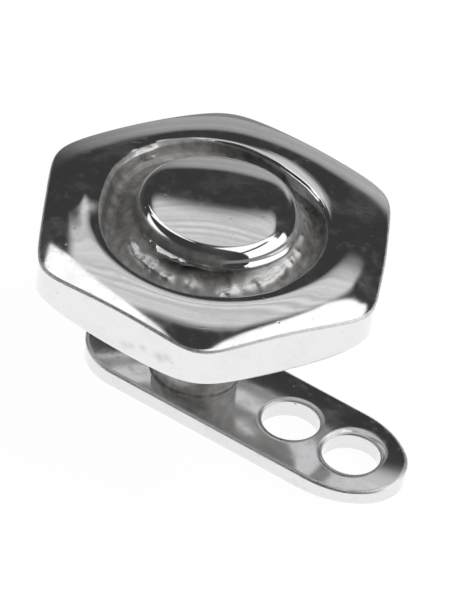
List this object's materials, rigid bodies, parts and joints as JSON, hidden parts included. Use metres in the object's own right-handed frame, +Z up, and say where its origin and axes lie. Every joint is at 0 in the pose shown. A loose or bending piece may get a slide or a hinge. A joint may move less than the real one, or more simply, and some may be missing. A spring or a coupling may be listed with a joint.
{
  "type": "dermal anchor",
  "caption": "Body jewellery anchor: hexagonal steel head with a domed boss in a cast recess, screwed onto a post on a drilled base plate.",
  "frame": {"origin": "on the post's axis, on the underside of the base plate", "axes": "+Z up the post, out of the skin; +X along the base plate, towards its drilled toe"},
  "size_m": [0.009, 0.007, 0.0051],
  "materials": {
    "anchor_steel": "tumble-polished stainless steel, mirror bright with soft edges",
    "pin_steel": "turned stainless steel, left as machined",
    "head_steel": "hand-polished cast stainless steel, with a rough cast groove round the boss"
  },
  "bodies": {
    "root": {"base_plate": "anchor_steel", "screw_pin": "pin_steel", "hex_head": "head_steel"}
  },
  "joints": []
}
